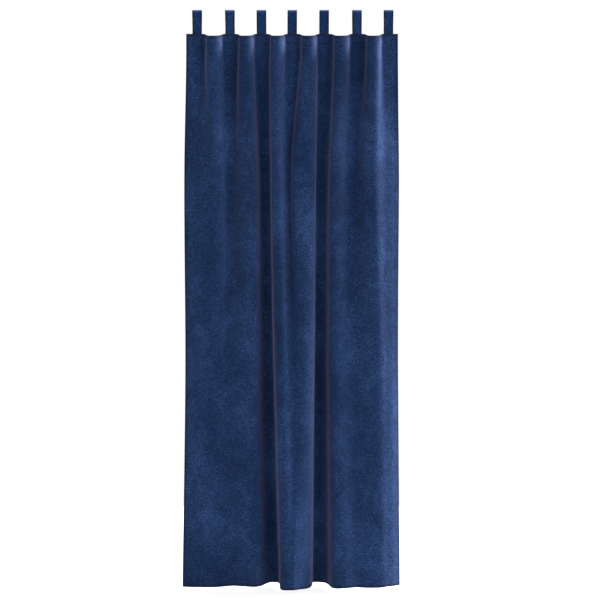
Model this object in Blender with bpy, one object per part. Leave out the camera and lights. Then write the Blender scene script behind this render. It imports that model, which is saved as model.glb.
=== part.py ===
"""A velvet tab-top curtain, 1.40 m wide and 2.80 m long, as it hangs from a 28 mm rod.

Run it with: blender --background --python part.py

Metres, +Z up. The origin is on the rod's centre line, at the middle of the curtain's width. The pile side
faces -Y. The curtain is one sheet, the panel, and seven tab loops that are sewn behind its heading. The rod
isn't part of it.

The panel's shape is a stack of plan curves, one for each height. A plan curve runs through the fold lines,
which are the crests and the valleys of the folds. Its depth is then worked out so that it holds exactly the
cloth's flat width, as cloth doesn't stretch.
"""

import math

import bmesh
import bpy
import numpy as np

# The cut and the cloth.
FLAT_WIDTH = 1.400  # of the finished panel, laid flat
LENGTH = 2.800  # from the top of the tabs to the hem, as hung
VELVET = 0.0020  # thickness of one layer, pile and backing
HEADING = 0.060  # depth of the top hem, turned to the back
HEM = 0.100  # depth of the bottom hem
SIDE_HEM = 0.030
HEM_RAMP = 0.003  # over which a second layer begins
GAP = 0.0003  # between two pieces that are sewn together

# The rod and the tabs.
ROD_RADIUS = 0.014
ROD_PLAY = 0.0012
TAB_WIDTH = 0.046
TAB_LAYER = 0.0030  # a tab is a flat tube of two thinner layers
TAB_RISE = 0.115  # how far a tab stands above the heading
TAB_TAIL = 0.040  # how far its sewn end reaches down behind the heading
TAB_NECK = 0.012  # its two legs meet this far above the heading
ARC_STEPS = 12

DROP = LENGTH - TAB_RISE
HEADING_Z = ROD_RADIUS + ROD_PLAY + TAB_LAYER - TAB_RISE

# The pleats between the tabs, where they leave the heading. Each tab holds a flat landing between two pleats.
PLEAT_DEPTH = 0.050
PLEAT_CREST = 0.46  # where a pleat's crest lies, as a share of the way to the next tab
PLEAT_SAG = 0.0205  # the heading's edge droops this much at a crest
SAG_KEPT = 0.20  # and keeps this share of it all the way down
SAG_EASE = 0.45
CREST_ROUND = 0.8  # below 1 broadens the droop
PLEAT_CLOTH = 0.166  # the cloth between two landings, measured along its curve
LANDING = TAB_WIDTH / 2 + 0.002
CRISP_EASE = 0.30  # the pleats soften over this distance below the heading
LANDING_EASE = 0.42  # and the landings narrow over this one
HEAD_REACH = {"edge": (0.30, 0.30), "tab": (0.30, 0.68), "pleat": (0.88, 0.92)}

# A fold line runs down the cloth through four heights. At each, across is X and forward is towards the room. The
# reaches say how broad the fold is on its left and right, as a share of the way to the next line: past about 0.7
# the flank between two lines stands upright, and past 1 it overhangs.
HEIGHTS = (HEADING, 0.70, 1.60, DROP)  # the head, the chest, the waist and the hem, as distances below its edge
FOLD_COLUMNS = ("kind", "head", "chest", "waist", "hem", "chest_out", "waist_out", "hem_out", "reaches")
FOLD_ROWS = (
    ("edge", -0.517, -0.526, -0.521, -0.534, 0.005, 0.005, 0.006, (0.40, 0.40)),
    ("tab", -0.464, -0.468, -0.466, -0.470, 0.008, 0.012, 0.015, (0.40, 0.55)),
    ("pleat", None, -0.374, -0.385, -0.391, 0.030, 0.018, 0.001, (0.30, 0.65)),
    ("tab", -0.304, -0.307, -0.306, -0.300, -0.026, -0.005, -0.013, (0.40, 0.50)),
    ("pleat", None, -0.209, -0.209, -0.214, 0.035, 0.018, 0.000, (0.62, 0.68)),
    ("tab", -0.151, -0.138, -0.120, -0.093, -0.050, -0.070, -0.088, (0.48, 0.90)),
    ("pleat", None, -0.069, -0.054, -0.024, 0.060, 0.078, 0.079, (1.05, 0.45)),
    ("tab", -0.002, -0.018, 0.006, -0.004, 0.006, 0.056, 0.080, (0.45, 0.35)),
    ("pleat", None, 0.026, 0.042, 0.026, 0.048, 0.064, 0.068, (0.80, 1.28)),
    ("tab", 0.153, 0.136, 0.122, 0.115, -0.050, -0.070, -0.090, (0.50, 0.80)),
    ("pleat", None, 0.210, 0.210, 0.236, 0.037, 0.030, 0.038, (0.70, 0.45)),
    ("tab", 0.313, 0.284, 0.292, 0.337, -0.024, 0.002, 0.013, (0.45, 0.40)),
    ("pleat", None, 0.380, 0.404, 0.414, 0.034, 0.018, 0.013, (0.55, 0.45)),
    ("tab", 0.466, 0.461, 0.468, 0.475, -0.004, -0.004, -0.004, (0.45, 0.40)),
    ("edge", 0.512, 0.520, 0.516, 0.524, -0.031, -0.032, -0.031, (0.40, 0.40)),
)
FOLDS = [dict(zip(FOLD_COLUMNS, row)) for row in FOLD_ROWS]

# How finely the panel is cut into faces.
COLUMNS_PER_FLANK = 7
BODY_ROWS = 15
CURVE_STEPS = 24  # along one flank

PANEL_BLUE = (0.020, 0.048, 0.130, 1.0)
TAB_BLUE = (0.016, 0.038, 0.105, 1.0)


def head_line(index):
    """The across and forward of a fold line at the heading."""
    fold = FOLDS[index]
    if fold["kind"] != "pleat":
        return fold["head"], 0.0
    left, right = FOLDS[index - 1]["head"], FOLDS[index + 1]["head"]
    return left + (right - left) * PLEAT_CREST, PLEAT_DEPTH


def down_a_line(values, drop):
    """A value that stays the same over the heading, and then passes smoothly through the other heights."""
    drop = max(drop, HEIGHTS[0])
    grades = np.diff(values) / np.diff(HEIGHTS)
    slopes = [0.0, *(grades[:-1] + grades[1:]) / 2, grades[-1]]
    i = min(int(np.searchsorted(HEIGHTS, drop, side="right")) - 1, len(HEIGHTS) - 2)
    span = HEIGHTS[i + 1] - HEIGHTS[i]
    u = (drop - HEIGHTS[i]) / span
    return (
        values[i] * (1 + 2 * u) * (1 - u) ** 2
        + values[i + 1] * u * u * (3 - 2 * u)
        + span * (slopes[i] * u * (1 - u) ** 2 + slopes[i + 1] * u * u * (u - 1))
    )


def lines_at(drop):
    """Each fold line's point (across, forward) at this height, its two reaches and its flat half width."""
    crisp = math.exp(-((drop / CRISP_EASE) ** 2))
    points, reaches, flats = [], [], []
    for index, fold in enumerate(FOLDS):
        across, forward = head_line(index)
        points.append((
            down_a_line((across, fold["chest"], fold["waist"], fold["hem"]), drop),
            down_a_line((forward, fold["chest_out"], fold["waist_out"], fold["hem_out"]), drop),
        ))
        at_head = HEAD_REACH[fold["kind"]]
        reaches.append([crisp * a + (1 - crisp) * b for a, b in zip(at_head, fold["reaches"])])
        flats.append(LANDING * math.exp(-((drop / LANDING_EASE) ** 2)) if fold["kind"] == "tab" else 0.0)
    return np.array(points), reaches, flats


def slopes_of(points):
    """The curve is level at a crest or a valley, and takes the mean slope where it passes on down or up."""
    steps = np.diff(points, axis=0)
    grades = steps[:, 1] / steps[:, 0]
    slopes = np.zeros(len(points))
    for i in range(1, len(points) - 1):
        before, after = grades[i - 1], grades[i]
        if before * after > 0:
            slopes[i] = 2 * before * after / (before + after)
    slopes[0], slopes[-1] = grades[0], grades[-1]
    return slopes


def through_lines(points, reaches, flats, depth):
    """The plan curve as a fine polyline, with every fold's forward multiplied by depth."""
    points = points * (1, depth)
    slopes = slopes_of(points)
    u = np.linspace(0, 1, CURVE_STEPS + 1)[:, None]
    spans = []
    for i in range(len(points) - 1):
        start = points[i] + flats[i] * np.array((1, slopes[i]))
        end = points[i + 1] - flats[i + 1] * np.array((1, slopes[i + 1]))
        width = end[0] - start[0]
        leave = start + reaches[i][1] * width * np.array((1, slopes[i]))
        arrive = end - reaches[i + 1][0] * width * np.array((1, slopes[i + 1]))
        spans.append(
            (1 - u) ** 3 * start + 3 * u * (1 - u) ** 2 * leave + 3 * u * u * (1 - u) * arrive + u**3 * end
        )
    return np.vstack(spans)


def distances(curve):
    return np.r_[0.0, np.cumsum(np.hypot(*np.diff(curve, axis=0).T))]


def sag_at(drop):
    """How far a crest hangs below the landings at this height."""
    return PLEAT_SAG * (SAG_KEPT + (1 - SAG_KEPT) * math.exp(-((drop / SAG_EASE) ** 2)))


def plan_length(drop):
    """The cloth's width, less what the drooping pleats take up."""
    flank = PLEAT_CLOTH / 2
    pleats = sum(fold["kind"] == "pleat" for fold in FOLDS)
    return FLAT_WIDTH - 2 * pleats * (flank - math.sqrt(flank**2 - sag_at(drop) ** 2))


def plan_curve(drop):
    """The plan curve at this height, with folds just deep enough to hold all of the cloth."""
    lines = lines_at(drop)
    length = plan_length(drop)
    low, high = 0.2, 3.0
    while high - low > 1e-4:
        depth = (low + high) / 2
        if distances(through_lines(*lines, depth))[-1] < length:
            low = depth
        else:
            high = depth
    return through_lines(*lines, low)


def along(curve, cloth):
    """Points (across, forward) of the curve at these distances along the cloth from its left edge."""
    run = distances(curve)
    share = cloth / FLAT_WIDTH * run[-1]
    return np.stack([np.interp(share, run, curve[:, 0]), np.interp(share, run, curve[:, 1])], axis=1)


def cloth_columns():
    """Distances along the cloth where the panel's mesh has a column of vertices."""
    run = distances(plan_curve(0.0))
    run *= FLAT_WIDTH / run[-1]
    firsts, lasts = run[:: CURVE_STEPS + 1], run[CURVE_STEPS :: CURVE_STEPS + 1]
    columns = {0.0, SIDE_HEM, SIDE_HEM + HEM_RAMP}
    for start, end in zip(firsts[1:-1], lasts[1:-1]):
        columns.update(np.linspace(start, end, COLUMNS_PER_FLANK + 1))
    columns.update((FLAT_WIDTH - SIDE_HEM - HEM_RAMP, FLAT_WIDTH - SIDE_HEM, FLAT_WIDTH))
    return np.array(sorted(columns))


def cloth_rows():
    """Distances down from the heading where the panel's mesh has a row of vertices."""
    body = np.linspace(HEADING + HEM_RAMP, DROP - HEM - HEM_RAMP, BODY_ROWS)
    return np.array([0.0, HEADING / 2, HEADING, *body, DROP - HEM, DROP - HEM / 2, DROP])


def panel_points(columns, rows):
    """The pile side of the panel, as an array of rows of points."""
    head = along(plan_curve(0.0), columns)[:, 1]
    crest_share = np.clip(head / head.max(), 0, 1) ** CREST_ROUND
    grid = []
    for drop in rows:
        plan = along(plan_curve(drop), columns)
        grid.append(np.stack([plan[:, 0], -plan[:, 1], HEADING_Z - drop - sag_at(drop) * crest_share], axis=1))
    return np.array(grid)


def finish_of(name, colour):
    """A matt cloth finish with the pale rim that pile has."""
    material = bpy.data.materials.new(name)
    material.use_nodes = True
    shader = material.node_tree.nodes["Principled BSDF"]
    shader.inputs["Base Color"].default_value = colour
    shader.inputs["Roughness"].default_value = 0.85
    shader.inputs["Metallic"].default_value = 0.0
    shader.inputs["Sheen Weight"].default_value = 0.6
    return material


def add_object(name, data, material):
    data.materials.append(material)
    made = bpy.data.objects.new(name, data)
    bpy.context.scene.collection.objects.link(made)
    return made


def make_panel(material):
    """The sheet, with its hems turned to the back, as a grid that Solidify thickens."""
    columns, rows = cloth_columns(), cloth_rows()
    points = panel_points(columns, rows)
    mesh = bpy.data.meshes.new("panel")
    shape = bmesh.new()
    vertices = [[shape.verts.new(point) for point in row] for row in points]
    for upper, lower in zip(vertices, vertices[1:]):
        for i in range(len(columns) - 1):
            shape.faces.new((upper[i], lower[i], lower[i + 1], upper[i + 1]))
    shape.to_mesh(mesh)
    shape.free()
    mesh.shade_smooth()
    panel = add_object("panel", mesh, material)

    in_hem = panel.vertex_groups.new(name="turned_hem")
    doubled_column = (columns <= SIDE_HEM) | (columns >= FLAT_WIDTH - SIDE_HEM)
    doubled_row = (rows <= HEADING) | (rows >= DROP - HEM)
    doubled = (doubled_row[:, None] | doubled_column[None, :]).ravel()
    in_hem.add(np.flatnonzero(doubled).tolist(), 1.0, "REPLACE")

    thicken = panel.modifiers.new("cloth", "SOLIDIFY")
    thicken.thickness = 2 * VELVET
    thicken.offset = -1.0
    thicken.use_even_offset = True
    thicken.vertex_group = in_hem.name
    thicken.thickness_vertex_group = 0.5  # a single layer is this share of a hem's two


def over_the_rod(clear):
    """An arc that lies this far outside the rod's play, from its front to its back, as (back, up) points."""
    radius = ROD_RADIUS + ROD_PLAY + clear
    turns = np.linspace(math.pi, 0, ARC_STEPS + 1)
    return [(radius * math.cos(turn), radius * math.sin(turn)) for turn in turns]


def make_tab(name, across, material):
    """A loop over the rod whose two legs meet in one tail, which is sewn behind the heading."""
    tail_front = 2 * VELVET + GAP
    tail_back = tail_front + 2 * TAB_LAYER
    tail_z = HEADING_Z - TAB_TAIL
    neck_z = HEADING_Z + TAB_NECK
    outer = [
        (tail_front, tail_z),
        (tail_front, neck_z),
        *over_the_rod(TAB_LAYER),
        (tail_back, neck_z),
        (tail_back, tail_z),
    ]
    inner = [((tail_front + tail_back) / 2, neck_z + TAB_LAYER), *over_the_rod(0.0)]

    curve = bpy.data.curves.new(name, "CURVE")
    curve.dimensions = "2D"
    curve.fill_mode = "BOTH"
    curve.extrude = TAB_WIDTH / 2
    for outline in (outer, inner):
        spline = curve.splines.new("POLY")
        spline.points.add(len(outline) - 1)
        for point, (back, up) in zip(spline.points, outline):
            point.co = (back, up, 0, 1)
        spline.use_cyclic_u = True
    tab = add_object(name, curve, material)
    tab.location = (across, 0, 0)
    tab.rotation_euler = (math.pi / 2, 0, math.pi / 2)


def main():
    for old in list(bpy.data.objects):
        bpy.data.objects.remove(old)
    make_panel(finish_of("panel_velvet", PANEL_BLUE))
    tab_velvet = finish_of("tab_velvet", TAB_BLUE)
    tabs = [fold["head"] for fold in FOLDS if fold["kind"] == "tab"]
    for number, across in enumerate(tabs, start=1):
        make_tab(f"tab_{number}", across, tab_velvet)


if __name__ == "__main__":
    main()
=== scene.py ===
"""A velvet tab-top curtain, finished around its packed frame: the panel, its tabs, its stitching and a stage.

Metres, +Z up, in the frame's own axes: the origin is on the rod's centre line, at the middle of the curtain's
width, and the pile side faces -Y. The panel and the tabs stand for their nodes in the frame. The panel is a
stack of plan curves, one for each height, and each holds the cloth's flat width. Its folds follow the same
fold lines as the frame, cut more finely, with the cloth's thickness, turned edges, puckered seams and pile.
"""

import math

import bpy
import numpy as np
from bpy.props import FloatProperty, FloatVectorProperty, IntProperty, PointerProperty
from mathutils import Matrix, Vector, noise


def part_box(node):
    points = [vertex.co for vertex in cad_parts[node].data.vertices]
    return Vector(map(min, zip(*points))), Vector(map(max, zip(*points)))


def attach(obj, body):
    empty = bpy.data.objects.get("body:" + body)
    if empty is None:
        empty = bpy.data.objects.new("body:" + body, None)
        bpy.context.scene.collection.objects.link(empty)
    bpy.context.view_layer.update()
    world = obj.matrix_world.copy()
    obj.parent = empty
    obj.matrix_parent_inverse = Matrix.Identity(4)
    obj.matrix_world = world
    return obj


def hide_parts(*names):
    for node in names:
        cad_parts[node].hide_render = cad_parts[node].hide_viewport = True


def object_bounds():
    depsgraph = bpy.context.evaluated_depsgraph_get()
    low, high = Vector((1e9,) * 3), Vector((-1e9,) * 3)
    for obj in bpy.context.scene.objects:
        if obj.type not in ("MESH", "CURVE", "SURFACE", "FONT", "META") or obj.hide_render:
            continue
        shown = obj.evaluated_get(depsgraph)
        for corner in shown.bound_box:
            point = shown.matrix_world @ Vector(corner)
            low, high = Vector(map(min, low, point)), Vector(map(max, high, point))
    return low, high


bl_info = {
    "name": "Velvet tab-top curtain",
    "version": (1, 0, 0),
    "blender": (4, 5, 0),
    "location": "3D View > Sidebar > Curtain",
    "description": "Makes a velvet tab-top curtain's panel, tabs, stitching and stage around its frame",
    "category": "Object",
}

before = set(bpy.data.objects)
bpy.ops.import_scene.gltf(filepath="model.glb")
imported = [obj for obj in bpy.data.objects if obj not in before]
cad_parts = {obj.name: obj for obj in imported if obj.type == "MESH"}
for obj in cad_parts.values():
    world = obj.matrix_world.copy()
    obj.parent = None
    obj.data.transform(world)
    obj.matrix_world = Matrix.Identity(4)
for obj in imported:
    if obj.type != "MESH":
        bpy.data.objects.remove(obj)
FRAME_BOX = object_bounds()
PANEL_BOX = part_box("panel")
TAB_NODES = sorted(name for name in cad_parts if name.startswith("tab_"))
TAB_BOXES = {name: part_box(name) for name in TAB_NODES}
FIRST_TAB = TAB_BOXES[TAB_NODES[0]]

HEADING_Z = PANEL_BOX[1].z  # the panel's top edge, where the tabs hold it
DROP = 2.685  # of the panel, along the cloth
TAB_ACROSS = [(low.x + high.x) / 2 for low, high in TAB_BOXES.values()]

# The folds. Each tab holds a flat landing between two pleats.
PLEAT_DEPTH = 0.050
PLEAT_CREST = 0.46  # where a pleat's crest lies, as a share of the way to the next tab
PLEAT_SAG = 0.0205  # the heading's edge droops this much at a crest
SAG_KEPT = 0.20  # and keeps this share of it all the way down
SAG_EASE = 0.45
CREST_ROUND = 0.8  # below 1 broadens the droop
PLEAT_CLOTH = 0.166  # the cloth between two landings, measured along its curve
LANDING = 0.025  # half of a landing's width
CRISP_EASE = 0.30  # the pleats soften over this distance below the heading
LANDING_EASE = 0.42  # and the landings narrow over this one
HEAD_REACH = {"edge": (0.30, 0.30), "tab": (0.30, 0.68), "pleat": (0.88, 0.92)}

# A fold line runs down the cloth through four heights. At each, across is X and forward is towards the room.
# The reaches say how broad the fold is on its left and right, as a share of the way to the next line: past
# about 0.7 the flank between two lines stands upright, and past 1 it overhangs.
HEIGHTS = (0.060, 0.70, 1.60, DROP)  # the head, the chest, the waist and the hem, as distances below the edge
FOLD_COLUMNS = ("kind", "head", "chest", "waist", "hem", "chest_out", "waist_out", "hem_out", "reaches")
FOLD_ROWS = (
    ("edge", -0.517, -0.526, -0.521, -0.534, 0.005, 0.005, 0.006, (0.40, 0.40)),
    ("tab", -0.464, -0.468, -0.466, -0.470, 0.008, 0.012, 0.015, (0.40, 0.55)),
    ("pleat", None, -0.374, -0.385, -0.391, 0.030, 0.018, 0.001, (0.30, 0.65)),
    ("tab", -0.304, -0.307, -0.306, -0.300, -0.026, -0.005, -0.013, (0.40, 0.50)),
    ("pleat", None, -0.209, -0.209, -0.214, 0.035, 0.018, 0.000, (0.62, 0.68)),
    ("tab", -0.151, -0.138, -0.120, -0.093, -0.050, -0.070, -0.088, (0.48, 0.90)),
    ("pleat", None, -0.069, -0.054, -0.024, 0.060, 0.078, 0.079, (1.05, 0.45)),
    ("tab", -0.002, -0.018, 0.006, -0.004, 0.006, 0.056, 0.080, (0.45, 0.35)),
    ("pleat", None, 0.026, 0.042, 0.026, 0.048, 0.064, 0.068, (0.80, 1.28)),
    ("tab", 0.153, 0.136, 0.122, 0.115, -0.050, -0.070, -0.090, (0.50, 0.80)),
    ("pleat", None, 0.210, 0.210, 0.236, 0.037, 0.030, 0.038, (0.70, 0.45)),
    ("tab", 0.313, 0.284, 0.292, 0.337, -0.024, 0.002, 0.013, (0.45, 0.40)),
    ("pleat", None, 0.380, 0.404, 0.414, 0.034, 0.018, 0.013, (0.55, 0.45)),
    ("tab", 0.466, 0.461, 0.468, 0.475, -0.004, -0.004, -0.004, (0.45, 0.40)),
    ("edge", 0.512, 0.520, 0.516, 0.524, -0.031, -0.032, -0.031, (0.40, 0.40)),
)
FOLDS = [dict(zip(FOLD_COLUMNS, row)) for row in FOLD_ROWS]
CURVE_STEPS = 40  # along one flank

# The hanging cloth strays from its even folds, and gathers along its seams.
RIPPLE_FREE = (0.05, 0.22)  # ripples begin at the first distance below the edge, and are full at the second
RIPPLES = ((1.0, 0.16, 0.42, 2.3), (0.45, 0.07, 0.16, 5.1))  # amount, size across, size down, noise layer
GATHER_DEPTH, GATHER_LAYER = 0.05, 9.7  # the gathers' size away from the seam, and noise layer
PUCKER_REACH = 0.022  # the puckers fade out over this distance from the seam
GROOVE_WIDTH = 0.0016
ROUND_OF_ROW = 0.0018  # the mesh has a line of points this far on each side of a row of stitches
STEP = 0.0006  # over which a second layer begins
PAINTED_EDGE_SHADE = 0.009  # how far in from a turned edge the colour is darkened, as painted shade

# The tab loops.
TAB_SEAM = 0.0015  # half the width of the groove where a tab's tube is closed, on its inside
TAB_STATIONS = 90  # along a tab
LOOP_WRAP = 0.25  # how far round the rod the loop reaches below its centre line, in radians
END_PINCH = 0.55  # a tab's sewn ends are pressed to this share of its thickness

# The rows of stitches.
ROW_END = 0.004  # between a row of stitches and the side of its cloth
POINTS_ACROSS, POINTS_DOWN = 700, 420  # along a row of stitches
TAB_BOX = (0.007, 0.035)  # the box of stitches on a tab lies between these distances below the heading
THREAD_TWIST = 700.0  # the scale of the thread's plies, which then lie about 0.9 mm apart

# The crushed pile.
DRIFT_SIZE = 0.26  # of the broadest patches
GRAIN_DEPTH = 0.00025
TUFT_SIZE, TUFT_STRENGTH, TUFT_DEPTH = 0.0012, 0.15, 0.00004
STOPS_OF_COLOUR = 0.9  # below and above even light, between which the colour turns to the brushed up one
PAINTED_RIM_FACING = (0.52, 0.92)  # the painted rim colour, sheen on the panel and shade on the tabs, shows between these turns away from the eye

# The stage.
SUN_SPREAD = 24  # of each light, in degrees
FLOOR_RADIUS, FLOOR_CORNERS = 2.4, 96
FLOOR_GLOW = 0.84


# ---------------------------------------------------- settings


def number(name, description, default, **limits):
    return FloatProperty(name=name, description=description, default=default, **limits)


def length(name, description, default):
    return number(name, description, default, min=0.0, precision=4, subtype="DISTANCE", unit="LENGTH")


def coordinate(name, description, default):
    return number(name, description, default, subtype="DISTANCE", unit="LENGTH")


def share(name, description, default):
    return number(name, description, default, min=0.0, max=1.0, subtype="FACTOR")


def strength(name, description, default):
    return number(name, description, default, min=0.0, precision=2)


def colour(name, description, default):
    return FloatVectorProperty(
        name=name, description=description, default=default, size=3, min=0.0, max=1.0, subtype="COLOR"
    )


class PanelSizes(bpy.types.PropertyGroup):
    """The cloth of the panel."""

    flat_width: length("Flat width", "Width of the hemmed panel, laid flat", 1.400)
    velvet: length("Velvet", "Thickness of one layer, pile and ground", 0.0020)
    heading: length("Heading", "Depth of the top hem", 0.060)
    hem: length("Hem", "Depth of the bottom hem", 0.100)
    side_hem: length("Side hems", "Width of each side hem", 0.030)
    column_gap: length("Column gap", "Distance between two columns of the mesh", 0.0057)
    row_gap: length("Row gap", "Distance between two rows of the mesh", 0.0165)
    ripple: length("Ripple", "How far the hanging cloth strays from its even folds", 0.0022)
    pucker: length("Pucker", "How far the cloth gathers along a seam", 0.0007)
    groove: length("Groove", "How deep a row of stitches pulls into the pile", 0.0004)


class TabSizes(bpy.types.PropertyGroup):
    """The tab loops."""

    width: length("Width", "Width of a tab", FIRST_TAB[1].x - FIRST_TAB[0].x)
    layer: length("Thickness", "Thickness of a tab, which is a flat tube of two layers", 0.0030)
    hollow: length("Hollow", "How much thinner a tab is between its folded sides", 0.0006)
    neck: length("Neck", "Height above the heading where a tab's two legs meet", 0.012)
    seam_gap: length("Gap", "Gap between the heading and the tab behind it", 0.0003)
    lean: length("Lean", "How far a tab strays sideways from its straight fold", 0.0006)


class StitchSizes(bpy.types.PropertyGroup):
    """The rows of lockstitch."""

    pitch: length("Pitch", "Distance from one stitch to the next", 0.0044)
    stitch: length("Stitch", "Length of one stitch", 0.0034)
    thread: length("Thread", "Thickness of the thread", 0.0006)
    inset: length("Inset", "Distance of a row of stitches from the turned edge", 0.003)
    seed: IntProperty(name="Seed", description="Seed of the stitches' slight unevenness", default=7, min=0)


class VelvetColours(bpy.types.PropertyGroup):
    """The finishes of the cloth and thread."""

    pile: colour("Pile", "Colour of the panel's pile where it lies darkest", (0.0024, 0.0278, 0.0985))
    tab_pile: colour("Tab pile", "Colour of the tabs' pile where it lies darkest", (0.0068, 0.0358, 0.1390))
    against: colour("Against the lie", "Colour of the pile where it is brushed up", (0.0150, 0.0340, 0.0930))
    ground: colour("Ground", "Colour of the woven back", (0.0260, 0.0440, 0.0980))
    thread: colour("Thread", "Colour of the sewing thread", (0.0120, 0.0240, 0.0700))
    sheen: colour("Sheen", "Tint of the light along the tips of the pile", (0.49, 0.545, 1.0))
    # Painted sheen: this colour is mixed into the panel's base colour where the surface turns away from the
    # eye.
    rim: colour("Rim", "Colour of the panel's pile seen along the surface", (0.0700, 0.0540, 0.1080))
    # Painted shade: the tabs' base colour darkens towards this where their surface turns away from the eye.
    tab_rim_shade: colour("Tab rim", "Colour of the tabs' pile seen along the surface", (0.0040, 0.0120, 0.0400))
    sheen_weight: share("Sheen weight", "How strongly the tips of the panel's pile catch light", 0.28)
    tab_sheen_weight: share("Tab sheen weight", "How strongly the tips of the tabs' pile catch light", 0.14)


class StageSizes(bpy.types.PropertyGroup):
    """The floor, the lights and the camera."""

    camera_back: length("Camera distance", "Distance from the camera to the curtain", 5.5)
    camera_across: coordinate("Camera across", "The camera's X", 0.036)
    camera_height: coordinate("Camera height", "The camera's Z", -1.39)
    field: length("Field", "Width that the camera sees at the curtain", 2.914)
    floor_gap: length("Floor gap", "Height of the hem over the floor", 0.020)
    floor: colour("Floor", "Colour of the floor", (0.33, 0.33, 0.33))
    room_light: strength("Room light", "The even light from all round", 0.55)
    front_light: strength("Front light", "The soft light from the front, on the right", 0.82)
    side_light: strength("Side light", "The low light from the right that picks out the folds", 0.52)
    high_side_light: strength("High side light", "The high light from the right, over the heading", 11.8)


# ------------------------------------------------ shader nodes


NUMBER, COLOUR, VECTOR = "NodeSocketFloat", "NodeSocketColor", "NodeSocketVector"


def add_node(tree, kind, inputs=None, **settings):
    """A node with these settings. An input is a value, or another node's output to link from."""
    node = tree.nodes.new(kind)
    for name, value in settings.items():
        setattr(node, name, value)
    for socket, value in (inputs or {}).items():
        if isinstance(value, bpy.types.NodeSocket):
            tree.links.new(value, node.inputs[socket])
        else:
            node.inputs[socket].default_value = value
    return node


def maths(tree, operation, first, second=0.0, third=0.0):
    return add_node(tree, "ShaderNodeMath", {0: first, 1: second, 2: third}, operation=operation).outputs[0]


def vectors(tree, operation, first, second):
    socket = "Scale" if operation == "SCALE" else 1
    return add_node(tree, "ShaderNodeVectorMath", {0: first, socket: second}, operation=operation).outputs[0]


def mix(tree, amount, first, second):
    return add_node(tree, "ShaderNodeMix", {0: amount, 6: first, 7: second}, data_type="RGBA").outputs[2]


def ramp(tree, value, low, high):
    """0 at low and below, 1 at high and above."""
    span = {"Value": value, "From Min": low, "From Max": high}
    return add_node(tree, "ShaderNodeMapRange", span).outputs[0]


def new_group(name, inputs, outputs):
    """A shader group with these sockets: (name, kind, default). Returns its tree and its inputs."""
    tree = bpy.data.node_groups.new(name, "ShaderNodeTree")
    for label, kind, default in inputs:
        tree.interface.new_socket(label, in_out="INPUT", socket_type=kind).default_value = default
    for label, kind in outputs:
        tree.interface.new_socket(label, in_out="OUTPUT", socket_type=kind)
    return tree, tree.nodes.new("NodeGroupInput").outputs


def cloud(tree, place, size, stretch, detail, roughness, distortion=0.0):
    """Noise from -1 to 1 in patches of this size, drawn out by stretch along the cloth."""
    stretched = vectors(tree, "DIVIDE", place, stretch)
    scaled = vectors(tree, "SCALE", stretched, maths(tree, "DIVIDE", 1.0, size))
    mottle = add_node(
        tree,
        "ShaderNodeTexNoise",
        {"Vector": scaled, "Scale": 1.0, "Detail": detail, "Roughness": roughness, "Distortion": distortion},
    )
    return maths(tree, "MULTIPLY_ADD", mottle.outputs["Fac"], 2.0, -1.0)


CLOTH_OUTPUTS = (("Colour", COLOUR), ("Roughness", NUMBER), ("Height", NUMBER))


def crushed_pile_group():
    """Pile that lies this way and that: patches, the grain of its tufts, and painted shade darkening it at a
    turned edge.

    The patches and the grain are added up in stops of light. Brushed up, the pile is lighter and paler.
    """
    tree, given = new_group(
        "crushed_pile",
        (
            ("Place", VECTOR, (0.0, 0.0, 0.0)),
            ("Turned Edge", NUMBER, 0.0),
            ("Colour", COLOUR, (0.02, 0.04, 0.10, 1.0)),
            ("Against Colour", COLOUR, (0.03, 0.04, 0.10, 1.0)),
            ("Drift Strength", NUMBER, 0.5),
            ("Patch Size", NUMBER, 0.1),
            ("Patch Strength", NUMBER, 1.0),
            ("Grain Size", NUMBER, 0.012),
            ("Grain Strength", NUMBER, 1.5),
            ("Lie Depth", NUMBER, 0.003),
            ("Edge Shade Depth", NUMBER, 0.5),
        ),
        CLOTH_OUTPUTS,
    )
    place = given["Place"]
    drift = cloud(tree, place, DRIFT_SIZE, (1.0, 1.5, 1.0), 0.0, 0.5)
    patches = cloud(tree, place, given["Patch Size"], (1.0, 1.25, 1.0), 2.0, 0.85, 0.5)
    grain = cloud(tree, place, given["Grain Size"], (1.5, 0.8, 1.0), 1.0, 0.9, 1.0)
    tufts = cloud(tree, place, TUFT_SIZE, (1.0, 1.0, 1.0), 0.0, 0.5)

    stops = maths(tree, "MULTIPLY", drift, given["Drift Strength"])
    stops = maths(tree, "MULTIPLY_ADD", patches, given["Patch Strength"], stops)
    stops = maths(tree, "MULTIPLY_ADD", grain, given["Grain Strength"], stops)
    stops = maths(tree, "MULTIPLY_ADD", tufts, TUFT_STRENGTH, stops)
    # Painted shade: the colour is darkened along a turned edge.
    shade = maths(tree, "MULTIPLY", given["Turned Edge"], given["Edge Shade Depth"])
    light = maths(tree, "MULTIPLY", maths(tree, "POWER", 2.0, stops), maths(tree, "SUBTRACT", 1.0, shade))
    brushed = ramp(tree, stops, -STOPS_OF_COLOUR, STOPS_OF_COLOUR)
    tinted = vectors(tree, "SCALE", mix(tree, brushed, given["Colour"], given["Against Colour"]), light)

    rough = maths(tree, "MULTIPLY_ADD", patches, 0.06, 0.88)
    height = maths(tree, "MULTIPLY", patches, given["Lie Depth"])
    height = maths(tree, "MULTIPLY_ADD", grain, GRAIN_DEPTH, height)
    height = maths(tree, "MULTIPLY_ADD", tufts, TUFT_DEPTH, height)
    add_node(tree, "NodeGroupOutput", {"Colour": tinted, "Roughness": rough, "Height": height})
    return tree


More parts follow.
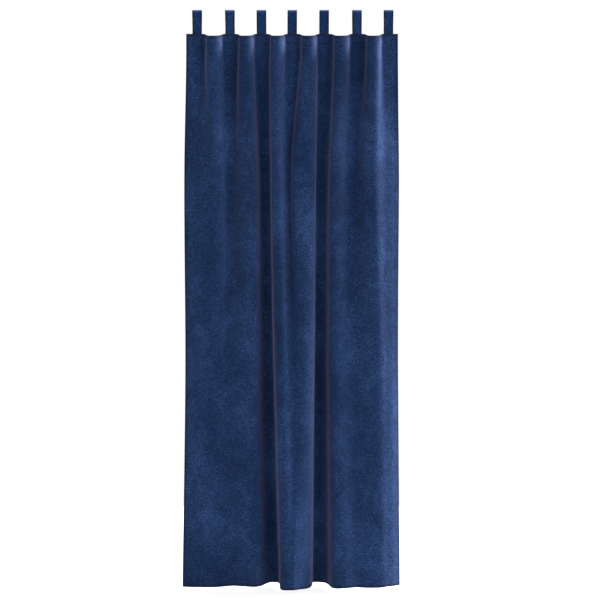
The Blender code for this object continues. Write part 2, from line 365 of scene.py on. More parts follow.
def woven_ground_group():
    """The plain weave of the cloth's back: warp over weft, with slubs."""
    tree, given = new_group(
        "woven_ground",
        (
            ("Place", VECTOR, (0.0, 0.0, 0.0)),
            ("Colour", COLOUR, (0.03, 0.05, 0.10, 1.0)),
            ("Thread Pitch", NUMBER, 0.0008),
            ("Slub Strength", NUMBER, 0.15),
        ),
        CLOTH_OUTPUTS,
    )
    turns = vectors(tree, "SCALE", given["Place"], maths(tree, "DIVIDE", math.pi, given["Thread Pitch"]))
    parts = add_node(tree, "ShaderNodeSeparateXYZ", {0: turns}).outputs
    warp = maths(tree, "SINE", parts["X"])
    weft = maths(tree, "SINE", parts["Y"])
    over = maths(tree, "MULTIPLY", warp, weft)
    slubs = cloud(tree, given["Place"], 0.02, (0.15, 3.0, 1.0), 2.0, 0.55)
    drift = cloud(tree, given["Place"], 0.12, (1.0, 1.0, 1.0), 2.0, 0.55)
    light = maths(tree, "MULTIPLY_ADD", slubs, given["Slub Strength"], 1.0)
    light = maths(tree, "MULTIPLY_ADD", drift, 0.10, light)
    light = maths(tree, "MULTIPLY_ADD", over, 0.12, light)
    tinted = vectors(tree, "SCALE", given["Colour"], light)
    rough = maths(tree, "MULTIPLY_ADD", slubs, 0.04, 0.82)
    height = maths(tree, "MULTIPLY", over, 0.00010)
    height = maths(tree, "MULTIPLY_ADD", slubs, 0.00008, height)
    add_node(tree, "NodeGroupOutput", {"Colour": tinted, "Roughness": rough, "Height": height})
    return tree


def shared_group(name, maker):
    """The group of this name, built once."""
    return bpy.data.node_groups.get(name) or maker()


def new_material(name):
    """A material with an empty tree. Returns both."""
    material = bpy.data.materials.new(name)
    material.use_nodes = True
    material.node_tree.nodes.clear()
    return material, material.node_tree


def surface(tree, values):
    """Ends the material in a Principled surface with these inputs."""
    shader = add_node(tree, "ShaderNodeBsdfPrincipled", values)
    add_node(tree, "ShaderNodeOutputMaterial", {"Surface": shader.outputs["BSDF"]})


def to_the_camera(tree, elsewhere, shown):
    """A surface that looks like shown to the camera, and lights the curtain like elsewhere."""
    seen = add_node(tree, "ShaderNodeLightPath").outputs["Is Camera Ray"]
    return add_node(tree, "ShaderNodeMixShader", {0: seen, 1: elsewhere, 2: shown}).outputs[0]


def cloth_material(name, group, values, sheen_weight, sheen_tint, rim=None):
    """A Principled cloth whose colour, roughness and bump come from a group on the piece's own cloth map.

    rim is a colour painted into the base where the surface turns away from the eye: painted sheen on the
    panel, painted shade on the tabs.
    """
    material, tree = new_material(name)
    place = add_node(tree, "ShaderNodeUVMap", uv_map="cloth").outputs["UV"]
    effect = add_node(tree, "ShaderNodeGroup", node_tree=group)
    tree.links.new(place, effect.inputs["Place"])
    for socket, value in values.items():
        effect.inputs[socket].default_value = value
    height, base = effect.outputs["Height"], effect.outputs["Colour"]
    relief = add_node(tree, "ShaderNodeBump", {"Strength": 1.0, "Distance": 1.0, "Height": height})
    # The rim colour is painted into the base colour where the surface turns away from the eye, kept off the
    # turned edges: painted sheen on the panel, painted shade on the tabs.
    if rim:
        edge = add_node(tree, "ShaderNodeAttribute", attribute_name="turned_edge").outputs["Fac"]
        tree.links.new(edge, effect.inputs["Turned Edge"])
        turn = add_node(tree, "ShaderNodeLayerWeight", {"Blend": 0.5}).outputs["Facing"]
        away = maths(tree, "POWER", maths(tree, "SUBTRACT", 1.0, edge), 3.0)
        amount = maths(tree, "MULTIPLY", ramp(tree, turn, *PAINTED_RIM_FACING), away)
        base = mix(tree, amount, base, (*rim, 1.0))
    inputs = {
        "Base Color": base,
        "Roughness": effect.outputs["Roughness"],
        "Normal": relief.outputs["Normal"],
        "Specular IOR Level": 0.05,
        "Sheen Weight": sheen_weight,
        "Sheen Roughness": 0.6,
        "Sheen Tint": (*sheen_tint, 1.0),
    }
    surface(tree, inputs)
    return material


def pile_material(name, pile_colour, rim, sheen_weight):
    """Velvet seen from its pile side."""
    finish = bpy.context.scene.curtain_velvet
    return cloth_material(
        name,
        shared_group("crushed_pile", crushed_pile_group),
        {
            "Colour": (*pile_colour, 1.0),
            "Against Colour": (*finish.against, 1.0),
            "Drift Strength": 0.80,
            "Patch Size": 0.085,
            "Patch Strength": 0.95,
            "Grain Size": 0.0065,
            "Grain Strength": 2.20,
            "Lie Depth": 0.0015,
            # The strength of the painted shade along turned edges.
            "Edge Shade Depth": 0.80,
        },
        sheen_weight,
        finish.sheen,
        rim,
    )


def ground_material():
    """Velvet seen from its woven back."""
    finish = bpy.context.scene.curtain_velvet
    return cloth_material(
        "velvet_ground",
        shared_group("woven_ground", woven_ground_group),
        {"Colour": (*finish.ground, 1.0), "Thread Pitch": 0.0009, "Slub Strength": 0.16},
        0.1,
        finish.sheen,
    )


def thread_material():
    """Spun sewing thread, with the twist of its plies."""
    finish = bpy.context.scene.curtain_velvet
    material, tree = new_material("sewing_thread")
    place = add_node(tree, "ShaderNodeTexCoord").outputs["Object"]
    plies = {"Vector": place, "Scale": THREAD_TWIST}
    ply = add_node(tree, "ShaderNodeTexWave", plies, bands_direction="DIAGONAL")
    tone = maths(tree, "MULTIPLY_ADD", ply.outputs["Fac"], 0.5, 0.7)
    tinted = vectors(tree, "SCALE", tuple(finish.thread), tone)
    twist = {"Strength": 0.5, "Distance": 0.0001, "Height": ply.outputs["Fac"]}
    relief = add_node(tree, "ShaderNodeBump", twist).outputs["Normal"]
    soft = {"Roughness": 0.6, "Sheen Weight": 0.2, "Sheen Roughness": 0.4}
    surface(tree, {"Base Color": tinted, "Normal": relief, **soft})
    return material


# ------------------------------------------- the hanging cloth


def head_line(index):
    """The across and forward of a fold line at the heading."""
    fold = FOLDS[index]
    if fold["kind"] != "pleat":
        return fold["head"], 0.0
    left, right = FOLDS[index - 1]["head"], FOLDS[index + 1]["head"]
    return left + (right - left) * PLEAT_CREST, PLEAT_DEPTH


def down_a_line(values, drop):
    """A value that stays the same over the heading, and then passes smoothly through the other heights."""
    drop = max(drop, HEIGHTS[0])
    grades = np.diff(values) / np.diff(HEIGHTS)
    slopes = [0.0, *(grades[:-1] + grades[1:]) / 2, grades[-1]]
    i = min(int(np.searchsorted(HEIGHTS, drop, side="right")) - 1, len(HEIGHTS) - 2)
    span = HEIGHTS[i + 1] - HEIGHTS[i]
    u = (drop - HEIGHTS[i]) / span
    return (
        values[i] * (1 + 2 * u) * (1 - u) ** 2
        + values[i + 1] * u * u * (3 - 2 * u)
        + span * (slopes[i] * u * (1 - u) ** 2 + slopes[i + 1] * u * u * (u - 1))
    )


def lines_at(drop):
    """Each fold line's point (across, forward) at this height, its two reaches and its flat half width."""
    crisp = math.exp(-((drop / CRISP_EASE) ** 2))
    points, reaches, flats = [], [], []
    for index, fold in enumerate(FOLDS):
        across, forward = head_line(index)
        points.append((
            down_a_line((across, fold["chest"], fold["waist"], fold["hem"]), drop),
            down_a_line((forward, fold["chest_out"], fold["waist_out"], fold["hem_out"]), drop),
        ))
        at_head = HEAD_REACH[fold["kind"]]
        reaches.append([crisp * a + (1 - crisp) * b for a, b in zip(at_head, fold["reaches"])])
        flats.append(LANDING * math.exp(-((drop / LANDING_EASE) ** 2)) if fold["kind"] == "tab" else 0.0)
    return np.array(points), reaches, flats


def slopes_of(points):
    """The curve is level at a crest or a valley, and takes the mean slope where it passes on down or up."""
    steps = np.diff(points, axis=0)
    grades = steps[:, 1] / steps[:, 0]
    slopes = np.zeros(len(points))
    for i in range(1, len(points) - 1):
        before, after = grades[i - 1], grades[i]
        if before * after > 0:
            slopes[i] = 2 * before * after / (before + after)
    slopes[0], slopes[-1] = grades[0], grades[-1]
    return slopes


def through_lines(points, reaches, flats, depth):
    """The plan curve as a fine polyline, with every fold's forward multiplied by depth."""
    points = points * (1, depth)
    slopes = slopes_of(points)
    u = np.linspace(0, 1, CURVE_STEPS + 1)[:, None]
    spans = []
    for i in range(len(points) - 1):
        start = points[i] + flats[i] * np.array((1, slopes[i]))
        end = points[i + 1] - flats[i + 1] * np.array((1, slopes[i + 1]))
        width = end[0] - start[0]
        leave = start + reaches[i][1] * width * np.array((1, slopes[i]))
        arrive = end - reaches[i + 1][0] * width * np.array((1, slopes[i + 1]))
        spans.append(
            (1 - u) ** 3 * start + 3 * u * (1 - u) ** 2 * leave + 3 * u * u * (1 - u) * arrive + u**3 * end
        )
    return np.vstack(spans)


def distances(curve):
    return np.r_[0.0, np.cumsum(np.hypot(*np.diff(curve, axis=0).T))]


def sag_at(drop):
    """How far a crest hangs below the landings at this height."""
    return PLEAT_SAG * (SAG_KEPT + (1 - SAG_KEPT) * math.exp(-((drop / SAG_EASE) ** 2)))


def plan_length(drop, flat_width):
    """The cloth's width, less what the drooping pleats take up."""
    flank = PLEAT_CLOTH / 2
    pleats = sum(fold["kind"] == "pleat" for fold in FOLDS)
    return flat_width - 2 * pleats * (flank - math.sqrt(flank**2 - sag_at(drop) ** 2))


def plan_curve(drop, flat_width):
    """The plan curve at this height, with folds just deep enough to hold all of the cloth."""
    lines = lines_at(drop)
    wanted = plan_length(drop, flat_width)
    low, high = 0.2, 3.0
    while high - low > 1e-4:
        depth = (low + high) / 2
        if distances(through_lines(*lines, depth))[-1] < wanted:
            low = depth
        else:
            high = depth
    return through_lines(*lines, low)


def along(curve, cloth, flat_width):
    """Points (across, forward) of the curve at these distances along the cloth from its left edge."""
    run = distances(curve)
    place = cloth / flat_width * run[-1]
    return np.stack([np.interp(place, run, curve[:, 0]), np.interp(place, run, curve[:, 1])], axis=1)


def ruled(stops, gap):
    """Distances through these stops, with steps of about gap between two that lie further apart than that."""
    places = [stops[0]]
    for start, end in zip(stops, stops[1:]):
        steps = max(1, round((end - start) / gap))
        places.extend(np.linspace(start, end, steps + 1)[1:])
    return np.array(places)


def turned_edge(sizes, hem, row_of_stitches):
    """Distances from a turned edge: round its fold, over its row of stitches and down the step at its end."""
    fold = [sizes.velvet * (1 - math.cos(turn)) for turn in (0.0, 0.5, 1.0, math.pi / 2)]
    stitches = [hem - row_of_stitches + move for move in (-ROUND_OF_ROW, 0.0, ROUND_OF_ROW)]
    return [*fold, *stitches, hem - STEP, hem]


def smooth(low, high, value):
    t = np.clip((value - low) / (high - low), 0, 1)
    return t * t * (3 - 2 * t)


def uneven(across, down, size_across, size_down, layer):
    """Gentle noise over the cloth, from -1 to 1, with waves of this size."""
    flat = zip((across / size_across).ravel(), (down / size_down).ravel())
    return np.array([noise.noise((a, d, layer)) for a, d in flat]).reshape(across.shape)


class HangingCloth:
    """The panel's pile side and back as grids of points: a row for each height, a column for each place."""

    def __init__(self, sizes, stitch_inset):
        self.sizes = sizes
        self.inset = stitch_inset
        width = sizes.flat_width
        side = turned_edge(sizes, sizes.side_hem, stitch_inset)
        top = turned_edge(sizes, sizes.heading, stitch_inset)
        foot = turned_edge(sizes, sizes.hem, stitch_inset)
        self.across = ruled([*side, *(width - place for place in reversed(side))], sizes.column_gap)
        self.down = ruled([*top, *(DROP - place for place in reversed(foot))], sizes.row_gap)
        self.hang()

    def hang(self):
        """Places both sides of the cloth."""
        width = self.sizes.flat_width
        head = along(plan_curve(0.0, width), self.across, width)[:, 1]
        crest = np.clip(head / head.max(), 0, 1) ** CREST_ROUND
        rows = []
        for drop in self.down:
            plan = along(plan_curve(drop, width), self.across, width)
            rows.append(np.stack([plan[:, 0], -plan[:, 1], HEADING_Z - drop - sag_at(drop) * crest], axis=1))
        even = np.array(rows)
        outward = np.cross(np.gradient(even, self.down, axis=0), np.gradient(even, self.across, axis=1))
        self.outward = outward / np.linalg.norm(outward, axis=2, keepdims=True)

        layers = self.layers()
        half = layers * self.sizes.velvet / 2
        edge = self.round_of_edge(half)
        relief = self.relief()
        self.pile = even + self.outward * (relief - half * (1 - edge))[:, :, None]
        self.back = even + self.outward * (relief - half * (1 + edge))[:, :, None]

    def edge_distances(self):
        """How far each point is from the nearest side edge, from the top edge and from the bottom edge."""
        across, down = np.meshgrid(self.across, self.down)
        return np.minimum(across, self.sizes.flat_width - across), down, DROP - down

    def layers(self):
        """One layer of velvet, or two where an edge is turned, with a rounded step between them."""
        layers = np.ones((len(self.down), len(self.across)))
        hems = (self.sizes.side_hem, self.sizes.heading, self.sizes.hem)
        for distance, hem in zip(self.edge_distances(), hems):
            step = np.clip((hem - distance) / STEP, 0, 1)
            layers = np.maximum(layers, 1 + np.sqrt(1 - (1 - step) ** 2))
        return layers

    def round_of_edge(self, half):
        """The share of the cloth's thickness that is left as it turns over at its edges."""
        shares = []
        for distance in self.edge_distances():
            inward = np.clip(distance / half, 0, 1)
            shares.append(np.sqrt(np.clip(1 - (1 - inward) ** 2, 0, 1)))
        return shares[0] * shares[1] * shares[2]

    def relief(self):
        """How far the cloth stands out from its even folds: ripples, and puckers and grooves along seams."""
        sizes = self.sizes
        across, down = np.meshgrid(self.across, self.down)
        side, top, foot = self.edge_distances()
        ripple = sum(
            amount * uneven(across, down, wide, high, layer) for amount, wide, high, layer in RIPPLES
        )
        relief = sizes.ripple * smooth(*RIPPLE_FREE, down) * ripple
        for distance, hem, run, wave in (
            (side, sizes.side_hem, down, 0.075),
            (top, sizes.heading, across, 0.030),
            (foot, sizes.hem, across, 0.036),
        ):
            from_seam = np.abs(distance - (hem - self.inset))
            gather = uneven(run, distance, wave, GATHER_DEPTH, GATHER_LAYER)
            relief += sizes.pucker * gather * np.exp(-from_seam / PUCKER_REACH)
            relief -= sizes.groove * np.exp(-((from_seam / GROOVE_WIDTH) ** 2))
        return relief

    def on_side(self, across, down, lift, behind=False):
        """Points this far out from one side of the cloth, at these places across and down it."""
        side, facing = (self.back, -self.outward) if behind else (self.pile, self.outward)
        i = np.clip(np.searchsorted(self.across, across, side="right") - 1, 0, len(self.across) - 2)
        j = np.clip(np.searchsorted(self.down, down, side="right") - 1, 0, len(self.down) - 2)
        u = ((across - self.across[i]) / (self.across[i + 1] - self.across[i]))[:, None]
        v = ((down - self.down[j]) / (self.down[j + 1] - self.down[j]))[:, None]
        found = []
        for grid in (side, facing):
            upper = grid[j, i] * (1 - u) + grid[j, i + 1] * u
            lower = grid[j + 1, i] * (1 - u) + grid[j + 1, i + 1] * u
            found.append(upper * (1 - v) + lower * v)
        return found[0] + lift * found[1]


def new_object(name, mesh):
    made = bpy.data.objects.new(name, mesh)
    bpy.context.scene.collection.objects.link(made)
    return made


def mesh_of(name, points, faces, cloth_places, turned_edge):
    """A smooth mesh whose cloth map holds each point's place on the flat cloth, in metres.

    turned_edge is 1 for a point on the fold of a turned edge, and 0 for one away from it; the pile is painted
    darker by it, as shade.
    """
    mesh = bpy.data.meshes.new(name)
    mesh.from_pydata(points, [], faces)
    corners = np.empty(len(mesh.loops), np.int32)
    mesh.loops.foreach_get("vertex_index", corners)
    mesh.uv_layers.new(name="cloth").uv.foreach_set(
        "vector", np.asarray(cloth_places, np.float32)[corners].ravel()
    )
    mesh.attributes.new("turned_edge", "FLOAT", "POINT").data.foreach_set(
        "value", np.asarray(turned_edge, np.float32).ravel()
    )
    mesh.shade_smooth()
    mesh.validate()
    return mesh


def stand_for(piece, slot, *nodes):
    """The piece moves with the curtain and stands for these nodes; slot is not used."""
    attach(piece, "root")
    if nodes:
        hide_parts(*nodes)


# --------------------------------------------------- the panel


def hanging_cloth():
    scene = bpy.context.scene
    return HangingCloth(scene.curtain_panel, scene.curtain_stitches.inset)


def panel_mesh(cloth):
    """The two sides as one closed skin, joined along the turned edges."""
    rows, columns = len(cloth.down), len(cloth.across)
    front = np.arange(rows * columns).reshape(rows, columns)
    rear = np.full((rows, columns), -1)
    rear[1:-1, 1:-1] = front.size + np.arange((rows - 2) * (columns - 2)).reshape(rows - 2, columns - 2)
    rear = np.where(rear < 0, front, rear)
    points = np.vstack([cloth.pile.reshape(-1, 3), cloth.back[1:-1, 1:-1].reshape(-1, 3)])

    def quads(index, order):
        corners = (index[:-1, :-1], index[1:, :-1], index[1:, 1:], index[:-1, 1:])
        return np.stack([corners[i].ravel() for i in order], axis=1)

    faces = np.vstack([quads(front, (0, 1, 2, 3)), quads(rear, (3, 2, 1, 0))])
    places = np.stack(np.meshgrid(cloth.across, DROP - cloth.down), axis=2)
    places = np.vstack([places.reshape(-1, 2), places[1:-1, 1:-1].reshape(-1, 2)])
    from_edge = np.minimum.reduce(cloth.edge_distances())
    # Mask of the painted shade along the turned edges, which also keeps the painted rim off them.
    turned = np.exp(-((from_edge / PAINTED_EDGE_SHADE) ** 2))
    turned = np.concatenate([turned.ravel(), turned[1:-1, 1:-1].ravel()])
    mesh = mesh_of("panel", points.tolist(), faces.tolist(), places, turned)

    middle_across, middle_down = np.meshgrid(
        (cloth.across[1:] + cloth.across[:-1]) / 2, (cloth.down[1:] + cloth.down[:-1]) / 2
    )
    sizes = cloth.sizes
    single = (
        (np.minimum(middle_across, sizes.flat_width - middle_across) > sizes.side_hem)
        & (middle_down > sizes.heading)
        & (middle_down < DROP - sizes.hem)
    )
    finish = np.concatenate([np.zeros(single.size, np.int32), single.ravel().astype(np.int32)])
    mesh.polygons.foreach_set("material_index", finish)
    return mesh


class MakePanel(bpy.types.Operator):
    """Hangs the velvet panel in its folds, with its edges turned to the back"""

    bl_idname = "curtain.make_panel"
    bl_label = "Make the panel"

    def execute(self, context):
        cloth = hanging_cloth()
        mesh = panel_mesh(cloth)
        finish = context.scene.curtain_velvet
        velvet = pile_material("panel_velvet_pile", finish.pile, finish.rim, finish.sheen_weight)
        mesh.materials.append(velvet)
        mesh.materials.append(ground_material())
        panel = new_object("velvet_panel", mesh)
        stand_for(panel, "panel_velvet", "panel")
        return {"FINISHED"}


# ---------------------------------------------------- the tabs


def tab_outline(sizes):
    """A tab's cross-section as (across, out) points: a pressed tube, thinner between its two folded sides."""
    radius = sizes.layer / 2
    flat = sizes.width / 2 - radius
    places = np.linspace(-flat, flat, 15)
    thinner = sizes.hollow / 2 * np.clip((1 - np.abs(places) / flat) * 5, 0, 1)
    seam = 0.5 * sizes.hollow * np.exp(-((places / TAB_SEAM) ** 2))
    outer = np.stack([places, radius - thinner], axis=1)
    inner = np.stack([places[::-1], -(radius - thinner - seam)[::-1]], axis=1)
    turns = np.linspace(math.pi / 2, -math.pi / 2, 7)[1:-1]
    right = np.stack([flat + radius * np.cos(turns), radius * np.sin(turns)], axis=1)
    left = np.stack([-flat - radius * np.cos(turns), -radius * np.sin(turns)], axis=1)
    return np.vstack([outer, right, inner, left])


def tab_line(sizes, cloth_back):
    """The middle of a tab's cloth, as (back, up) points, from one sewn end over the rod to the other."""
    low, high = FIRST_TAB
    radius = high.z - sizes.layer / 2
    front = cloth_back + sizes.seam_gap + sizes.layer / 2
    rear = front + sizes.layer
    neck = HEADING_Z + sizes.neck
    below, above, apart = 0.006, 0.002, 0.001  # round the neck, the two legs part for the rod
    corners = [(front, low.z), (front, neck - below), (front - apart, neck + above)]
    turns = np.linspace(math.pi + LOOP_WRAP, -LOOP_WRAP, 25)
    corners += [(radius * math.cos(turn), radius * math.sin(turn)) for turn in turns]
    corners += [(rear + apart, neck + above), (rear, neck - below), (rear, low.z)]
    line = np.array(corners)
    for _ in range(3):
        cut = np.empty((2 * len(line), 2))
        cut[0], cut[-1] = line[0], line[-1]
        cut[1:-1:2] = 0.75 * line[:-1] + 0.25 * line[1:]
        cut[2:-1:2] = 0.25 * line[:-1] + 0.75 * line[1:]
        line = cut
    run = distances(line)
    even = np.linspace(0, run[-1], TAB_STATIONS)
    return np.stack([np.interp(even, run, line[:, 0]), np.interp(even, run, line[:, 1])], axis=1), even


def tab_mesh(name, across, sizes, cloth_back, turn):
    """A tab's tube swept along its line, with both ends closed."""
    outline = tab_outline(sizes)
    line, run = tab_line(sizes, cloth_back)
    ahead = np.gradient(line, axis=0)
    ahead /= np.linalg.norm(ahead, axis=1, keepdims=True)
    out = np.stack([-ahead[:, 1], ahead[:, 0]], axis=1)
    middle = smooth(0.0, 0.05, run) * smooth(0.0, 0.05, run[-1] - run)
    lean = sizes.lean * middle * np.sin(turn + run * 14.0)
    points = []
    for station in range(len(line)):
        ring = outline * (1, END_PINCH if station in (0, len(line) - 1) else 1)
        place = line[station] + ring[:, 1:] * out[station]
        points.append(np.column_stack([across + lean[station] + ring[:, 0], place]))
    points = np.array(points)

    stations, ring = points.shape[:2]
    index = np.arange(stations * ring).reshape(stations, ring)
    beside = np.roll(index, -1, axis=1)
    faces = np.stack([index[:-1], index[1:], beside[1:], beside[:-1]], axis=2).reshape(-1, 4).tolist()
    faces += [index[0].tolist(), index[-1][::-1].tolist()]
    girth = np.r_[0.0, np.cumsum(np.linalg.norm(np.diff(outline, axis=0), axis=1))]
    places = np.stack(np.meshgrid(girth + across, run + 3 * across), axis=2).reshape(-1, 2)
    # Mask of the painted shade along the tab's folded sides, which also keeps the painted rim off them.
    turned = np.clip(1 - (sizes.width / 2 - np.abs(outline[:, 0])) / PAINTED_EDGE_SHADE, 0, 1)
    return mesh_of(name, points.reshape(-1, 3).tolist(), faces, places, np.tile(turned, stations))


class MakeTabs(bpy.types.Operator):
    """Sews the tab loops behind the heading"""

    bl_idname = "curtain.make_tabs"
    bl_label = "Make the tabs"

    def execute(self, context):
        sizes = context.scene.curtain_tabs
        cloth_back = 2 * context.scene.curtain_panel.velvet
        finish = context.scene.curtain_velvet
        velvet = pile_material("tab_velvet_pile", finish.tab_pile, finish.tab_rim_shade, finish.tab_sheen_weight)
        for number, (node, across) in enumerate(zip(TAB_NODES, TAB_ACROSS)):
            mesh = tab_mesh(node, across, sizes, cloth_back, 1.7 * number)
            mesh.materials.append(velvet)
            tab = new_object(f"velvet_{node}", mesh)
            stand_for(tab, "tab_velvet", node)
            cut_length = float(distances(tab_line(sizes, cloth_back)[0])[-1])
        return {"FINISHED"}


# ----------------------------------------------- the stitching


def stitch_tree():
    """Geometry nodes that lay a stitch at every pitch along the edges of a mesh."""
    tree = bpy.data.node_groups.new("stitch_rows", "GeometryNodeTree")
    for label, kind in (
        ("Geometry", "NodeSocketGeometry"),
        ("Pitch", NUMBER),
        ("Stitch Length", NUMBER),
        ("Thread Thickness", NUMBER),
        ("Seed", "NodeSocketInt"),
        ("Thread", "NodeSocketMaterial"),
    ):
        tree.interface.new_socket(label, in_out="INPUT", socket_type=kind)
    tree.interface.new_socket("Geometry", in_out="OUTPUT", socket_type="NodeSocketGeometry")
    given = tree.nodes.new("NodeGroupInput").outputs

    row = add_node(tree, "GeometryNodeMeshToCurve", {"Mesh": given["Geometry"]})
    spacing = {"Curve": row.outputs["Curve"], "Length": given["Pitch"]}
    marks = add_node(tree, "GeometryNodeCurveToPoints", spacing, mode="LENGTH")
    ahead = {"Vector": marks.outputs["Tangent"]}
    turned = add_node(tree, "FunctionNodeAlignRotationToVector", ahead, axis="Z", pivot_axis="AUTO")
    limits = {2: 0.90, 3: 1.06, "Seed": given["Seed"]}
    uneven_length = add_node(tree, "FunctionNodeRandomValue", limits, data_type="FLOAT")
    long = maths(tree, "MULTIPLY", given["Stitch Length"], uneven_length.outputs[1])
    thick = given["Thread Thickness"]
    size = add_node(tree, "ShaderNodeCombineXYZ", {"X": thick, "Y": thick, "Z": long})
    bead = add_node(tree, "GeometryNodeMeshUVSphere", {"Segments": 6, "Rings": 5, "Radius": 0.5})
    rounded = add_node(tree, "GeometryNodeSetShadeSmooth", {"Geometry": bead.outputs["Mesh"]})
    laid = add_node(
        tree,
        "GeometryNodeInstanceOnPoints",
        {
            "Points": marks.outputs["Points"],
            "Instance": rounded.outputs[0],
            "Rotation": turned.outputs[0],
            "Scale": size.outputs[0],
        },
    )
    real = add_node(tree, "GeometryNodeRealizeInstances", {"Geometry": laid.outputs["Instances"]})
    dressed = add_node(
        tree, "GeometryNodeSetMaterial", {"Geometry": real.outputs["Geometry"], "Material": given["Thread"]}
    )
    add_node(tree, "NodeGroupOutput", {"Geometry": dressed.outputs["Geometry"]})
    return tree


def seam_rows(cloth, tabs, stitches):
    """Each row of stitches as a line of points: hems on both sides of the cloth, and a box on each tab."""
    sizes, inset = cloth.sizes, stitches.inset
    lift = stitches.thread * 0.15
    width = sizes.flat_width
    side, top, foot = sizes.side_hem - inset, sizes.heading - inset, DROP - sizes.hem + inset
    rows = []
    for down in (top, foot):
        places = np.linspace(ROW_END, width - ROW_END, POINTS_ACROSS)
        for behind in (False, True):
            rows.append(cloth.on_side(places, np.full_like(places, down), lift, behind))
    for across in (side, width - side):
        places = np.linspace(sizes.heading, DROP - sizes.hem, POINTS_DOWN)
        for behind in (False, True):
            rows.append(cloth.on_side(np.full_like(places, across), places, lift, behind))

    reach = tabs.width / 2 - ROW_END
    top, foot = (HEADING_Z - below for below in TAB_BOX)
    box = [(-reach, top), (reach, top), (reach, foot), (-reach, foot), (-reach, top)]
    rear = 2 * sizes.velvet + tabs.seam_gap + 2 * tabs.layer - tabs.hollow / 2
    for across in TAB_ACROSS:
        for back in (-stitches.thread * 0.1, rear + lift):
            rows.append(np.array([(across + beside, back, up) for beside, up in box]))
    return rows


class MakeStitching(bpy.types.Operator):
    """Sews the hems and the tabs with rows of lockstitch"""

    bl_idname = "curtain.make_stitching"
    bl_label = "Make the stitching"

    def execute(self, context):
        scene = context.scene
        stitches = scene.curtain_stitches
        points, edges = [], []
        for row in seam_rows(hanging_cloth(), scene.curtain_tabs, stitches):
            edges += [(len(points) + i, len(points) + i + 1) for i in range(len(row) - 1)]
            points += row.tolist()
        guide_mesh = bpy.data.meshes.new("stitch_guide")
        guide_mesh.from_pydata(points, edges, [])
        guide = new_object("stitch_guide", guide_mesh)

        tree = stitch_tree()
        values = {
            "Pitch": stitches.pitch,
            "Stitch Length": stitches.stitch,
            "Thread Thickness": stitches.thread,
            "Seed": stitches.seed,
            "Thread": thread_material(),
        }
        sewing = guide.modifiers.new("stitch_rows", "NODES")
        sewing.node_group = tree
        for socket in tree.interface.items_tree:
            if socket.in_out == "INPUT" and socket.name in values:
                sewing[socket.identifier] = values[socket.name]
        sewn = guide.evaluated_get(context.evaluated_depsgraph_get())
        mesh = bpy.data.meshes.new_from_object(sewn)
        mesh.name = "stitching"
        bpy.data.objects.remove(guide)
        stitching = new_object("stitching", mesh)
        stand_for(stitching, "thread")
        return {"FINISHED"}


# --------------------------------------------------- the stage


def soft_light(name, bearing, height, strength):
    """A broad, even light from this bearing, 0 in front and 90 on the right, and this height, in degrees."""
    light = bpy.data.lights.new(name, "SUN")
    light.angle = math.radians(SUN_SPREAD)
    light.energy = strength
    bearing, height = math.radians(bearing), math.radians(height)
    towards = Vector((
        math.sin(bearing) * math.cos(height), -math.cos(bearing) * math.cos(height), math.sin(height)
    ))
    new_object(name, light).rotation_euler = towards.to_track_quat("Z", "Y").to_euler()


def room(strength):
    """Even soft light from all round, in front of a white backdrop."""
    world = bpy.data.worlds.new("studio")
    bpy.context.scene.world = world
    world.use_nodes = True
    tree = world.node_tree
    tree.nodes.clear()
    even = add_node(tree, "ShaderNodeBackground", {"Color": (0.95, 0.97, 1.0, 1.0), "Strength": strength})
    white = add_node(tree, "ShaderNodeBackground", {"Color": (1.0, 1.0, 1.0, 1.0), "Strength": 1.0})
    shown = to_the_camera(tree, even.outputs[0], white.outputs[0])
    add_node(tree, "ShaderNodeOutputWorld", {"Surface": shown})


def floor(stage):
    """A pale round floor under the hem. It shows as pale as the backdrop and throws back a little light."""
    material, tree = new_material("pale_floor")
    lit = add_node(tree, "ShaderNodeBsdfDiffuse", {"Color": (*stage.floor, 1.0)})
    pale = add_node(tree, "ShaderNodeEmission", {"Color": (1.0, 1.0, 1.0, 1.0), "Strength": FLOOR_GLOW})
    shown = add_node(tree, "ShaderNodeAddShader", {0: lit.outputs[0], 1: pale.outputs[0]})
    either = to_the_camera(tree, lit.outputs[0], shown.outputs[0])
    add_node(tree, "ShaderNodeOutputMaterial", {"Surface": either})
    height = FRAME_BOX[0].z - stage.floor_gap
    turns = np.linspace(0, 2 * math.pi, FLOOR_CORNERS, endpoint=False)
    rim = [(FLOOR_RADIUS * math.cos(turn), FLOOR_RADIUS * math.sin(turn), height) for turn in turns]
    mesh = bpy.data.meshes.new("floor")
    mesh.from_pydata(rim, [], [range(FLOOR_CORNERS)])
    mesh.materials.append(material)
    new_object("floor", mesh)


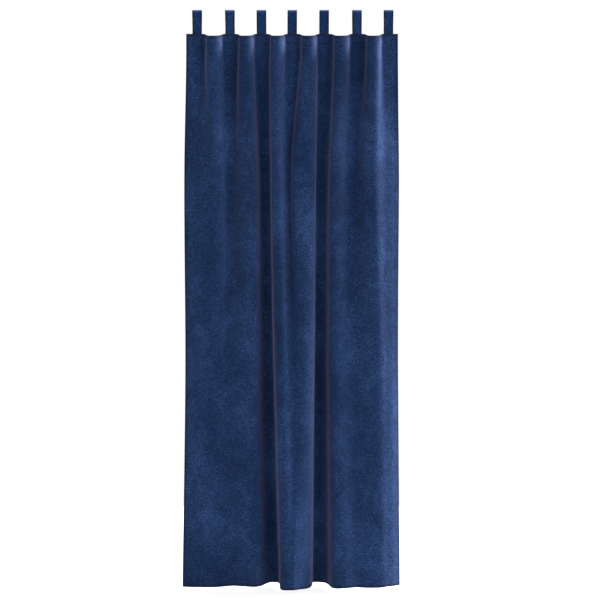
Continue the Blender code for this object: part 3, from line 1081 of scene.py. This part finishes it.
class SetStage(bpy.types.Operator):
    """Sets the floor, the lights and the camera"""

    bl_idname = "curtain.set_stage"
    bl_label = "Set the stage"

    def execute(self, context):
        stage = context.scene.curtain_stage
        room(stage.room_light)
        floor(stage)
        soft_light("front_light", 45, 10, stage.front_light)
        soft_light("side_light", 75, 10, stage.side_light)
        soft_light("high_side_light", 105, 45, stage.high_side_light)

        camera = bpy.data.cameras.new("camera")
        camera.sensor_width = 36.0
        camera.lens = camera.sensor_width * stage.camera_back / stage.field
        eye = new_object("camera", camera)
        eye.location = (stage.camera_across, -stage.camera_back, stage.camera_height)
        eye.rotation_euler = (math.pi / 2, 0, 0)
        context.scene.camera = eye
        context.scene.view_settings.view_transform = "Standard"
        return {"FINISHED"}


# -------------------------------------------------- the add-on

GROUPS = {
    "curtain_panel": PanelSizes,
    "curtain_tabs": TabSizes,
    "curtain_stitches": StitchSizes,
    "curtain_velvet": VelvetColours,
    "curtain_stage": StageSizes,
}
OPERATORS = (MakePanel, MakeTabs, MakeStitching, SetStage)


class CurtainPanel(bpy.types.Panel):
    """The curtain's sizes, colours and makers"""

    bl_idname = "VIEW3D_PT_curtain"
    bl_label = "Velvet curtain"
    bl_space_type = "VIEW_3D"
    bl_region_type = "UI"
    bl_category = "Curtain"

    def draw(self, context):
        for name, group in GROUPS.items():
            box = self.layout.box()
            box.label(text=group.__doc__)
            for size in group.__annotations__:
                box.prop(getattr(context.scene, name), size)
        for operator in OPERATORS:
            self.layout.operator(operator.bl_idname)


def register():
    for name, group in GROUPS.items():
        bpy.utils.register_class(group)
        setattr(bpy.types.Scene, name, PointerProperty(type=group))
    for made in (*OPERATORS, CurtainPanel):
        bpy.utils.register_class(made)


def unregister():
    for made in (CurtainPanel, *reversed(OPERATORS)):
        bpy.utils.unregister_class(made)
    for name, group in reversed(GROUPS.items()):
        delattr(bpy.types.Scene, name)
        bpy.utils.unregister_class(group)


def main():
    register()
    bpy.ops.curtain.make_panel()
    bpy.ops.curtain.make_tabs()
    bpy.ops.curtain.make_stitching()
    bpy.ops.curtain.set_stage()


if __name__ == "__main__":
    main()
